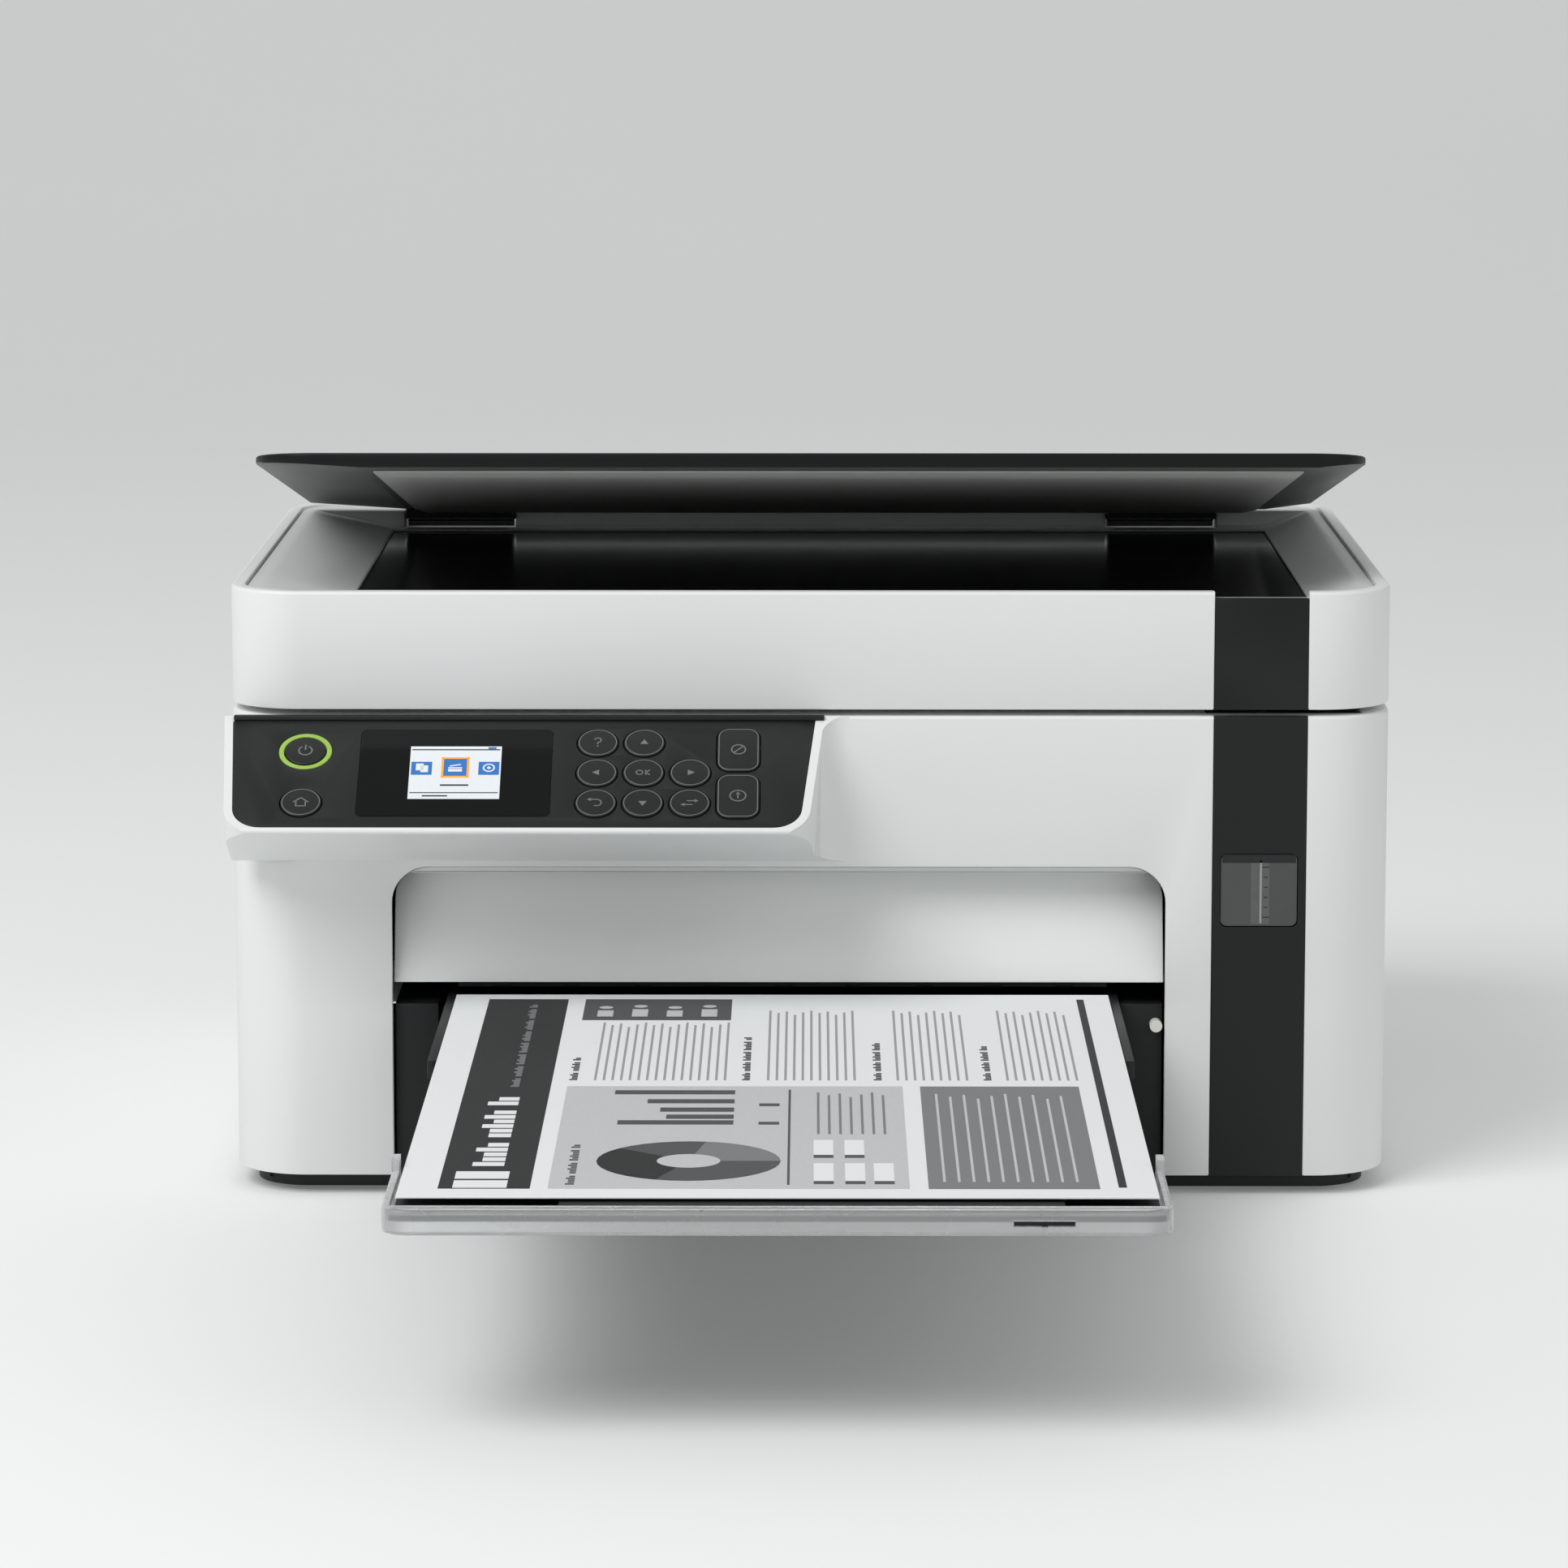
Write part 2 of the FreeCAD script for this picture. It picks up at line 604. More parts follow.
def make_tank():
    outer = rounded("tank_outer", TANK_X, TANK_Y, ("tank_low", TANK_TOP), "4")
    inner = rounded(
        "tank_inner", inside(TANK_X, "tank_wall"), inside(TANK_Y, "tank_wall"),
        ("tank_low + tank_wall", f"{TANK_TOP} - tank_wall"), "2",
    )
    neck = rod("tank_neck", "Z", FILLER, (f"{TANK_TOP} - 0.5", f"{TANK_TOP} + filler_tall"), "filler_radius")
    hole = rod("tank_hole", "Z", FILLER, (f"{TANK_TOP} - 4", f"{TANK_TOP} + filler_tall + 1"),
               "filler_radius - 2")
    ear_y = f"({FILLER[1]} + filler_radius + 3)"
    ears = []
    for k, side in enumerate(("-1", "1")):
        mid = f"({FILLER[0]} + {side} * 5)"
        ears.append(box(f"tank_ear_{k}", (f"{mid} - 1", f"{mid} + 1"), (f"{ear_y} - 2", f"{ear_y} + 2"),
                        (f"{TANK_TOP} - 0.5", f"{TANK_TOP} + filler_tall + 3")))
    pin_hole = rod("tank_pin_hole", "X", (ear_y, f"{TANK_TOP} + filler_tall + 1"),
                   (f"{FILLER[0]} - 8", f"{FILLER[0]} + 8"), "1 + run_gap")
    tank = cut("tank", fuse("tank_necked", outer, neck, *ears), inner, hole, pin_hole)
    node(tank, "ink_tank")
    lid = rod("cap_disc", "Z", FILLER, (f"{TANK_TOP} + filler_tall + fit_gap", f"{TANK_TOP} + filler_tall + 2"),
              "filler_radius")
    plug = rod("cap_plug", "Z", FILLER,
               (f"{TANK_TOP} + filler_tall - 4", f"{TANK_TOP} + filler_tall + 1"), "filler_radius - 3.2")
    arm = box("cap_arm", (f"{FILLER[0]} - 3.5", f"{FILLER[0]} + 3.5"), (FILLER[1], f"{ear_y} + 1.2"),
              (f"{TANK_TOP} + filler_tall + fit_gap", f"{TANK_TOP} + filler_tall + 2"))
    pin = rod("cap_pin", "X", (ear_y, f"{TANK_TOP} + filler_tall + 1"),
              (f"{FILLER[0]} - 6", f"{FILLER[0]} + 6"), "1")
    node(fuse("cap", lid, plug, arm, pin), "ink_tank_cap")


# ---------------------------------------------------------------- control panel
FACE_X = (f"({LEFT} + face_in)", f"({LEFT} + face_in + face_wide)")
LCD_X = (f"({FACE_X[0]} + lcd_in)", f"({FACE_X[0]} + lcd_in + lcd_wide)")
LCD_Y = ("(-lcd_down - lcd_long)", "(-lcd_down)")


def panel_outline(gap, top):
    """The control panel's plan on its slope, grown or shrunk by a gap, up to a top line."""
    def side(k, sign, taper, down):
        return f"{FACE_X[k]} + {sign} * ({gap} - {taper} * ({down}) / face_long)"

    low = f"(face_long + ({gap}))"
    return [
        (side(0, "-1", "face_taper_left", f"-({top})"), top),
        (side(0, "-1", "face_taper_left", low), f"-{low}"),
        (side(1, "1", "face_taper_right", low), f"-{low}"),
        (side(1, "1", "face_taper_right", f"-({top})"), top),
    ]


def panel_plate(name, gap, top, ends, radius):
    plate = pad(name, "XY", panel_outline(gap, top), ends)
    return soften(plate, radius, both(along("Z"), beyond("Y", -size("face_long") / 2, -1)))


def round_key(name, across, down, radius, ends, top_round=None):
    """A round key or its hole, drawn on the level panel."""
    body = DOC.addObject("PartDesign::Body", name)
    drum = body.newObject("PartDesign::AdditiveCylinder", name + "_drum")
    bind(drum, "Radius", radius)
    bind(drum, "Height", f"({ends[1]}) - ({ends[0]})")
    place(drum, f"{FACE_X[0]} + {across}", f"-({down})", ends[0])
    DOC.recompute()
    if top_round:
        soften(body, top_round, level("Z", body.Shape.BoundBox.ZMax))
    return body


def bar_key(name, down, gap, ends, top_round=None):
    x = (f"{FACE_X[0]} + bar_key_in - bar_key_wide / 2 - {gap}",
         f"{FACE_X[0]} + bar_key_in + bar_key_wide / 2 + {gap}")
    y = (f"-({down}) - bar_key_tall / 2 - {gap}", f"-({down}) + bar_key_tall / 2 + {gap}")
    return rounded(name, x, y, ends, f"bar_key_round + {gap}", top_round)


ROUND_KEYS = {"home": ("power_in", "power_down + power_step")}
for key_name, column, row in (
    ("help", -1, -1), ("up", 0, -1), ("left", -1, 0), ("ok", 0, 0), ("right", 1, 0),
    ("back", -1, 1), ("down", 0, 1), ("paper", 1, 1),
):
    ROUND_KEYS[key_name] = (f"pad_in + {column} * key_pitch", f"pad_down + {row} * key_step")
BAR_KEYS = {"stop": "pad_down - bar_key_step / 2", "start": "pad_down + bar_key_step / 2"}
KEY_ENDS = ("-key_deep", "key_proud")
HOLE_ENDS = ("-face_thick - 1", "1")


def make_panel_face():
    top = "(-face_thick * tan(panel_tilt) - fit_gap)"
    plate = panel_plate("face_plate", "0", top, ("-face_thick", "0"), "face_round")
    holes = [round_key("face_power_hole", "power_in", "power_down",
                       "key_radius + key_gap + ring_wide + 0.1", HOLE_ENDS)]
    for name, (across, down) in ROUND_KEYS.items():
        holes.append(round_key(f"face_{name}_hole", across, down, "key_radius + key_gap", HOLE_ENDS))
    for name, down in BAR_KEYS.items():
        holes.append(bar_key(f"face_{name}_hole", down, "key_gap", HOLE_ENDS))
    window = rounded("face_lcd_hole", LCD_X, LCD_Y, HOLE_ENDS, "2")
    node(tilted(cut("face", plate, window, *holes)), "control_panel_face")
    lens = rounded("lcd_lens", inside(LCD_X, "0.1"), inside(LCD_Y, "0.1"), ("-lcd_thick", "0.05"), "1.9")
    node(tilted(lens), "lcd_window")
    disc = round_key("ring_outer", "power_in", "power_down", "key_radius + key_gap + ring_wide",
                     ("-face_thick", "0.1"))
    hole = round_key("ring_inner", "power_in", "power_down", "key_radius + key_gap", ("-face_thick - 1", "1"))
    node(tilted(cut("ring", disc, hole)), "power_light_ring")


def make_keys():
    power = round_key("key_power_cap", "power_in", "power_down", "key_radius", KEY_ENDS, "key_round")
    node(tilted(power), "key_power")
    for name, (across, down) in ROUND_KEYS.items():
        cap = round_key(f"key_{name}_cap", across, down, "key_radius", KEY_ENDS, "key_round")
        node(tilted(cap), f"key_{name}")
    for name, down in BAR_KEYS.items():
        node(tilted(bar_key(f"key_{name}_cap", down, "0", KEY_ENDS, "key_round")), f"key_{name}")


SLOPE_LONG = "(face_long + lip)"
TIP = (f"({FRONT} - {SLOPE_LONG} * cos(panel_tilt))", f"(case_top - {SLOPE_LONG} * sin(panel_tilt))")


def make_panel_housing():
    """The white wedge that stands out of the front wall and frames the panel face."""
    x = (f"{LEFT} - 5", f"{FACE_X[1]} + 20")
    section = pad("wedge_section", "YZ", [(FRONT, "case_top"), TIP, (FRONT, "chin")], x)
    soften(section, "edge_round", both(along("X"), beyond("Y", size("case_deep") / -2 - 20, -1)))
    plan = tilted(panel_plate("wedge_plan", "lip", "5", ("-90", "5"), "face_round + lip"))
    bed = tilted(panel_plate("wedge_bed", "fit_gap", "5", ("-face_thick", "5"), "face_round + fit_gap"))
    room = pad(
        "wedge_room", "YZ",
        [
            (FRONT, "case_top + 30"),
            (f"{TIP[0]} + shell * 2.26", "case_top + 30"),
            (f"{TIP[0]} + shell * 2.26", f"{TIP[1]} + shell * 0.3"),
            (FRONT, "chin + shell * 1.1"),
        ],
        x,
    )
    hollow = tilted(panel_plate("wedge_hollow", "-2", "5", ("-90", "5"), "face_round - 2"))
    solid = common("wedge_solid", section, plan)
    shell = cut("wedge_shell", solid, common("wedge_cavity", room, hollow))
    node(cut("wedge", fuse("wedge_blended", shell, make_panel_blend(section)), bed), "control_panel_housing")


def make_panel_blend(section):
    """A hollow upright curve that carries the wedge's right side into the front wall."""
    side = f"({FACE_X[1]} + lip - face_taper_right / 4)"
    block = box("blend_block", (f"{side} - lip", f"{side} + panel_blend"), (f"{FRONT} - panel_blend", FRONT),
                ("chin", "case_top"))
    hollow = rod("blend_hollow", "Z", (f"{side} + panel_blend", f"{FRONT} - panel_blend"),
                 ("chin - 1", "case_top + 1"), "panel_blend")
    return common("blend", cut("blend_curve", block, hollow), section)


def make_panel_board():
    board = box(
        "board_sheet", (f"{FACE_X[0]} + 10", f"{FACE_X[1]} - 12"), ("-42", "-9"),
        ("-board_drop - board_thick", "-board_drop"),
    )
    spots = [("power_in", "power_down")] + list(ROUND_KEYS.values())
    switches = [
        box(f"switch_{k}", (f"{FACE_X[0]} + {across} - 2", f"{FACE_X[0]} + {across} + 2"),
            (f"-({down}) - 2", f"-({down}) + 2"), ("-board_drop - 0.1", "-key_deep - 1.3"))
        for k, (across, down) in enumerate(spots)
        if down != "pad_down + 1 * key_step" and down != "power_down + power_step"
    ]
    node(tilted(fuse("panel_board", board, *switches)), "panel_circuit_board")


# ---------------------------------------------------------------- frame and drives
PLATE_LEFT = (f"({LEFT} + frame_left - sheet_metal)", f"({LEFT} + frame_left)")
PLATE_RIGHT = (f"({RIGHT} - frame_right)", f"({RIGHT} - frame_right + sheet_metal)")
PLATE_BACK = (f"({FRONT} + frame_back)", f"({FRONT} + frame_back + sheet_metal)")
IDLER_Y = f"({ROD_Y} - gear_module * (feed_teeth + idler_teeth) / 2)"
EXIT_Y = f"({ROD_Y} - gear_module * (feed_teeth + idler_teeth))"
PINION_Z = "(roller_high + gear_module * (idler_teeth + pinion_teeth) / 2)"
GEAR_X = (f"({PLATE_LEFT[0]} - 2 - gear_thick)", f"({PLATE_LEFT[0]} - 2)")
PULLEY_LEFT = f"({LEFT} + 30)"
PULLEY_RIGHT = f"({RIGHT} - 30)"
BELT_Y = (f"({PLATE_BACK[0]} - 1.5 - belt_wide)", f"({PLATE_BACK[0]} - 1.5)")


def make_frame():
    z = ("frame_low", "frame_top")
    left = box("frame_left_plate", PLATE_LEFT, (f"{FRONT} + 24", PLATE_BACK[1]), z)
    right = box("frame_right_plate", PLATE_RIGHT, (f"{FRONT} + carriage_front - 2", PLATE_BACK[1]), z)
    back = box("frame_back_plate", (PLATE_LEFT[0], PLATE_RIGHT[1]), PLATE_BACK,
               (f"{TRAY_TOP} + 1.5", "frame_top"))
    post = rod("frame_belt_post", "Y", (PULLEY_LEFT, "belt_high"), (BELT_Y[0], PLATE_BACK[1]),
               "belt_radius - belt_thick - fit_gap")
    hole_x = (f"{PLATE_LEFT[0]} - 1", f"{PLATE_LEFT[1]} + 1")
    far_x = (f"{PLATE_LEFT[0]} - 1", f"{PLATE_RIGHT[1]} + 1")
    holes = [
        rod("frame_rod_hole", "X", (ROD_Y, "rod_high"), far_x, "rod_radius"),
        rod("frame_feed_hole", "X", (ROD_Y, "roller_high"), far_x, "shaft_radius + run_gap"),
        rod("frame_exit_hole", "X", (EXIT_Y, "roller_high"), hole_x, "shaft_radius + run_gap"),
        rod("frame_idler_hole", "X", (IDLER_Y, "roller_high"), hole_x, "shaft_radius + run_gap"),
        rod("frame_pinion_hole", "X", (IDLER_Y, PINION_Z), hole_x, "shaft_radius"),
        rod("frame_pulley_hole", "Y", (PULLEY_RIGHT, "belt_high"),
            (f"{PLATE_BACK[0]} - 1", f"{PLATE_BACK[1]} + 1"), "shaft_radius"),
    ]
    node(cut("frame", fuse("frame_plates", left, right, back, post), *holes), "main_frame")
    node(rod("guide", "X", (ROD_Y, "rod_high"), (f"{PLATE_LEFT[0]} - 1.5", f"{PLATE_RIGHT[1]} + 1.5"),
             "rod_radius"), "guide_rod")


def racetrack(name, gap, y):
    """A flat-sided loop round the two belt centres, shrunk by a gap."""
    radius = f"belt_radius - ({gap})"
    left = rod(name + "_left", "Y", (PULLEY_LEFT, "belt_high"), y, radius)
    right = rod(name + "_right", "Y", (PULLEY_RIGHT, "belt_high"), y, radius)
    middle = box(name + "_middle", (PULLEY_LEFT, PULLEY_RIGHT), y,
                 (f"belt_high - ({radius})", f"belt_high + ({radius})"))
    return fuse(name, left, middle, right)


def make_belt_drive():
    belt = cut("belt", racetrack("belt_outer", "0", BELT_Y),
               racetrack("belt_inner", "belt_thick", (f"{BELT_Y[0]} - 1", f"{BELT_Y[1]} + 1")))
    node(belt, "carriage_belt")
    wheel = rod("pulley_wheel", "Y", (PULLEY_RIGHT, "belt_high"), BELT_Y,
                "belt_radius - belt_thick - fit_gap")
    shaft = rod("pulley_shaft", "Y", (PULLEY_RIGHT, "belt_high"), (BELT_Y[0], f"{PLATE_BACK[1]} + 12"),
                "shaft_radius - 1")
    node(fuse("pulley", wheel, shaft), "drive_pulley")
    can = rod("motor_can", "Y", (PULLEY_RIGHT, "belt_high"), (PLATE_BACK[1], f"{PLATE_BACK[1]} + motor_long"),
              "motor_radius")
    bore = rod("motor_bore", "Y", (PULLEY_RIGHT, "belt_high"), (f"{PLATE_BACK[1]} - 1", f"{PLATE_BACK[1]} + 13"),
               "shaft_radius - 1 + run_gap")
    node(cut("motor", can, bore), "carriage_motor")


CARRIAGE_X = (f"({RIGHT} - carriage_park - carriage_wide)", f"({RIGHT} - carriage_park)")
CARRIAGE_Y = (f"({FRONT} + carriage_front)", f"({FRONT} + carriage_front + carriage_deep)")
CARRIAGE_MID = f"({RIGHT} - carriage_park - carriage_wide / 2)"
HEAD_X = (f"({CARRIAGE_MID} - 18)", f"({CARRIAGE_MID} + 18)")
HEAD_Y = (f"({CARRIAGE_Y[0]} + 14)", f"({CARRIAGE_Y[1]} - 14)")


def make_carriage():
    block = rounded("carriage_block", CARRIAGE_X, CARRIAGE_Y, ("carriage_low", "carriage_low + carriage_tall"),
                    "4", "1.5")
    well = box("carriage_well", inside(CARRIAGE_X, "4"), inside(CARRIAGE_Y, "4"),
               ("carriage_low + 16", "carriage_low + carriage_tall + 1"))
    seat = box("carriage_seat", HEAD_X, HEAD_Y, ("carriage_low - 1", "carriage_low + 10"))
    lug = box("carriage_lug", (f"{CARRIAGE_MID} - 20", f"{CARRIAGE_MID} + 20"),
              (f"{CARRIAGE_Y[1]} - 1", f"{ROD_Y} + 8"), ("rod_high - 8", "rod_high + 9"))
    clamp = box("carriage_clamp", (f"{CARRIAGE_MID} - 8", f"{CARRIAGE_MID} + 8"),
                (f"{CARRIAGE_Y[1]} - 1", f"{BELT_Y[0]} - slide_gap"), ("belt_high - 12", "belt_high - 4"))
    bore = rod("carriage_bore", "X", (ROD_Y, "rod_high"), (f"{CARRIAGE_X[0]}", f"{CARRIAGE_X[1]}"),
               "rod_radius + run_gap")
    body = cut("carriage", fuse("carriage_lugged", block, lug, clamp), well, seat, bore)
    node(body, "carriage_body")
    node(box("head", inside(HEAD_X, "0.1"), inside(HEAD_Y, "0.1"), ("carriage_low - 1.2", "carriage_low + 9.9")),
         "print_head")


def gear(name, teeth, at, x, phase):
    """A spur gear on an X axis: a root disc and straight-flanked teeth set round it."""
    count = int(size(teeth))
    module = size("gear_module")
    pitch_r = module * count / 2
    root_r = pitch_r - 1.2 * module
    tip_r = pitch_r + 0.9 * module
    half = math.pi * module / 4 - size("backlash") / 2
    spread = {root_r - 0.2: half + 0.42 * module, tip_r: half - 0.33 * module}
    points = []
    for k in range(count):
        middle = 2 * math.pi * (k + phase) / count
        for radius, side in ((root_r, -1), (tip_r, -1), (tip_r, 1), (root_r, 1)):
            wide = spread[tip_r] if radius == tip_r else spread[root_r - 0.2]
            turn = middle + side * wide / radius
            points.append(Vector(0, radius * math.cos(turn), radius * math.sin(turn)))
    face = Part.Face(Part.makePolygon(points + points[:1]))
    low, high = number(x[0]), number(x[1])
    thing = DOC.addObject("Part::Feature", name)
    thing.Shape = face.extrude(Vector(high - low, 0, 0))
    return place(thing, x[0], *at)


SLEEVES = [f"({BAY[0]} + tray_side + 12 + {k} * (({BAY[1]}) - ({BAY[0]}) - 2 * tray_side - 54) / 3)"
           for k in range(4)]


def sleeve_rods(name, y, radius, z, long):
    return [rod(f"{name}_{k}", "X", (y, z), (low, f"{low} + {long}"), radius) for k, low in enumerate(SLEEVES)]


def make_rollers():
    feed_shaft = rod("feed_shaft", "X", (ROD_Y, "roller_high"), (GEAR_X[0], f"{PLATE_RIGHT[1]} + 2"),
                     "shaft_radius")
    feed_gear = gear("feed_gear", "feed_teeth", (ROD_Y, "roller_high"), GEAR_X, 0)
    node(fuse("feed", feed_shaft, feed_gear, *sleeve_rods("feed_sleeve", ROD_Y, "roller_radius",
                                                          "roller_high", "30")), "feed_roller")
    exit_shaft = rod("exit_shaft", "X", (EXIT_Y, "roller_high"), (GEAR_X[0], f"{BAY[1]} - 2"), "shaft_radius")
    exit_gear = gear("exit_gear", "feed_teeth", (EXIT_Y, "roller_high"), GEAR_X, 0)
    node(fuse("exit", exit_shaft, exit_gear, *sleeve_rods("exit_sleeve", EXIT_Y, "roller_radius",
                                                          "roller_high", "20")), "exit_roller")
    stub = rod("idler_stub", "X", (IDLER_Y, "roller_high"), (GEAR_X[0], PLATE_LEFT[1]), "shaft_radius")
    node(fuse("idler", stub, gear("idler_wheel", "idler_teeth", (IDLER_Y, "roller_high"), GEAR_X, 0.5)),
         "idler_gear")
    pin = rod("pinion_shaft", "X", (IDLER_Y, PINION_Z), (GEAR_X[0], f"{PLATE_LEFT[1]} + 10"), "shaft_radius - 1")
    node(fuse("pinion", pin, gear("pinion_wheel", "pinion_teeth", (IDLER_Y, PINION_Z), GEAR_X, 0)),
         "motor_pinion")
    can = rod("feed_can", "X", (IDLER_Y, PINION_Z), (PLATE_LEFT[1], f"{PLATE_LEFT[1]} + motor_long"),
              "motor_radius")
    bore = rod("feed_bore", "X", (IDLER_Y, PINION_Z), (f"{PLATE_LEFT[1]} - 1", f"{PLATE_LEFT[1]} + 11"),
               "shaft_radius - 1 + run_gap")
    node(cut("feed_drive", can, bore), "feed_motor")
    pinch_z = "(roller_high + roller_radius + pinch_radius + fit_gap)"
    pinch = sleeve_rods("pinch_sleeve", ROD_Y, "pinch_radius", pinch_z, "30")
    wire = rod("pinch_wire", "X", (ROD_Y, pinch_z), (SLEEVES[0], f"{SLEEVES[3]} + 30"), "1")
    node(fuse("pinch", wire, *pinch), "pinch_rollers")
    star_z = "(roller_high + roller_radius + star_radius + fit_gap)"
    stars = sleeve_rods("star_disc", EXIT_Y, "star_radius", star_z, "2")
    wire = rod("star_wire", "X", (EXIT_Y, star_z), (SLEEVES[0], f"{SLEEVES[3]} + 4"), "0.8")
    node(fuse("star", wire, *stars), "star_wheels")


PLATEN_Y = (f"({EXIT_Y} + roller_radius + 2)", f"({ROD_Y} - roller_radius - 2)")
CAP_X = f"({CARRIAGE_X[0]} + 5)"


def make_platen():
    deck = box("platen_deck", (PLATE_LEFT[1], f"{CAP_X} - 1"), PLATEN_Y, ("frame_low + 8", "carriage_low - 4"))
    ribs = [
        box(f"platen_rib_{k}", (f"{BAY[0]} + tray_side + 6 + {k} * 24", f"{BAY[0]} + tray_side + 8 + {k} * 24"),
            inside(PLATEN_Y, "6"), ("carriage_low - 5", "carriage_low - 2.5"))
        for k in range(8)
    ]
    lug = box("platen_lug", (f"{BAY[1]} - 6", f"{BAY[1]}"), (f"{EXIT_Y} - 8", f"{PLATEN_Y[0]} + 1"),
              ("frame_low + 8", "roller_high + 8"))
    arm = box("platen_arm", (f"{CAP_X} - 8", f"{BAY[1]}"), (f"{PLATEN_Y[0]}", f"{PLATEN_Y[0]} + 6"),
              ("frame_low + 8", "carriage_low - 4"))
    bore = rod("platen_bore", "X", (EXIT_Y, "roller_high"), (f"{BAY[1]} - 7", f"{BAY[1]} + 1"),
               "shaft_radius + run_gap")
    node(cut("platen_body", fuse("platen_all", deck, lug, arm, *ribs), bore), "platen")
    base = box("cap_base", (CAP_X, PLATE_RIGHT[0]), (f"{PLATEN_Y[0]} + 6.5", f"{CARRIAGE_Y[1]}"),
               ("frame_low + 8", "carriage_low - 4"))
    frame = box("cap_frame", inside(HEAD_X, "2"), inside(HEAD_Y, "2"), ("carriage_low - 5", "carriage_low - 2"))
    well = box("cap_well", inside(HEAD_X, "5"), inside(HEAD_Y, "5"), ("carriage_low - 8", "carriage_low"))
    node(cut("cap_station", fuse("cap_all", base, frame), well), "capping_station")


# ---------------------------------------------------------------- power, boards and rear
def make_electrics():
    x = (f"({RIGHT} - 70)", f"({RIGHT} - base_inset - shell - 2)")
    y = (f"{FRONT} + 165", f"{BACK} - 30")
    case = rounded("supply_case", x, y, ("foot_proud + shell", "62"), "3")
    room = rounded("supply_room", inside(x, "2"), inside(y, "2"), ("foot_proud + shell + 2", "60"), "2")
    vents = [box(f"supply_vent_{k}", (f"{x[0]} + {8 + 6 * k}", f"{x[0]} + {11 + 6 * k}"),
                 inside(y, "12"), ("58", "64")) for k in range(8)]
    node(cut("supply", case, room, *vents), "power_supply")
    block = box("inlet_block", inside(INLET_X, "0.2"), (f"{BACK} - 20", f"{BACK}"), inside(INLET_Z, "0.2"))
    mouth = soften(
        pad("inlet_mouth", "XZ", rectangle(inside(INLET_X, "5"), inside(INLET_Z, "4")),
            (f"{BACK} - 17", f"{BACK} + 1")),
        "4", along("Y"),
    )
    pins = [rod(f"inlet_pin_{k}", "Y", (f"({INLET_X[0]} + {k})", f"({INLET_Z[0]} + 9)"),
                (f"{BACK} - 18", f"{BACK} - 6"), "1.2") for k in (10, 18)]
    node(fuse("inlet", cut("inlet_shell", block, mouth), *pins), "ac_inlet")
    board_x = (f"({LEFT} + shell + 3)", f"({LEFT} + shell + 3 + board_thick)")
    board_y = (f"{ROD_Y} + gear_module * feed_teeth / 2 + 12", f"{BACK} - 24")
    board = box("main_board_sheet", board_x, board_y, ("14", "112"))
    chips = [
        box(f"chip_{k}", (f"{board_x[1]} - 0.1", f"{board_x[1]} + {tall}"),
            (f"{board_y[0]} + {low}", f"{board_y[0]} + {low + wide}"), (f"{up}", f"{up + high}"))
        for k, (low, wide, up, high, tall) in enumerate(
            ((12, 22, 40, 22, 2), (44, 12, 44, 12, 1.5), (20, 10, 76, 16, 1.5), (60, 8, 74, 24, 6),
             (40, 5, 90, 14, 5), (76, 10, 24, 10, 9))
        )
    ]
    bracket = box("port_bracket", (f"{board_x[1]} - 0.1", f"{PORT_X[0]} + 2"), (f"{BACK} - 40", f"{BACK} - 24"),
                  inside(PORT_Z, "0.5"))
    shell = box("port_shell", inside(PORT_X, "0.3"), (f"{BACK} - 40", f"{BACK}"), inside(PORT_Z, "0.3"))
    socket = box("port_socket", inside(PORT_X, "2"), (f"{BACK} - 14", f"{BACK} + 1"), inside(PORT_Z, "2"))
    tongue = box("port_tongue", inside(PORT_X, "4.5"), (f"{BACK} - 15", f"{BACK} - 3"),
                 (f"{PORT_Z[0]} + 5", f"{PORT_Z[0]} + 8"))
    board_all = fuse("main_board_all", board, bracket, cut("port", shell, socket), tongue, *chips)
    node(board_all, "main_board")


def make_rear_cover():
    x = inside(COVER_X, "fit_gap")
    panel = box("cover_panel", x, (f"{BACK} - shell", BACK), inside(COVER_Z, "fit_gap"))
    grip = box("cover_grip", (f"({x[0]} + {x[1]}) / 2 - 22", f"({x[0]} + {x[1]}) / 2 + 22"),
               (f"{BACK} - 1.2", f"{BACK} + 1"), ("cover_low + cover_tall - 18", "cover_low + cover_tall - 8"))
    lip_z = ("cover_low + 6", "cover_low + cover_tall - 10")
    ribs = []
    for k in range(9):
        at = f"({x[0]} + 12 + {k} * (cover_wide - 26) / 8)"
        rib = box(f"cover_rib_{k}", (at, f"{at} + 2"), (f"{BACK} - shell - 16", f"{BACK} - shell + 0.5"), lip_z)
        scoop = rod(f"cover_scoop_{k}", "X", (f"{BACK} - shell - 22", "cover_low + cover_tall / 2"),
                    (f"{at} - 1", f"{at} + 3"), "18")
        ribs.append(cut(f"cover_curve_{k}", rib, scoop))
    node(cut("cover", fuse("cover_ribbed", panel, *ribs), grip), "rear_cover")


# ---------------------------------------------------------------- paper handling
TRAY_X = (f"({BAY[0]} + tray_side + tray_shift)", f"({BAY[1]} - tray_side + tray_shift)")
MAIN_Y = (f"({FRONT} - tray_travel + 8)", f"({FRONT} - tray_travel + 8 + tray_long)")
REACH_FRONT = f"({FRONT} - tray_travel - reach_travel)"


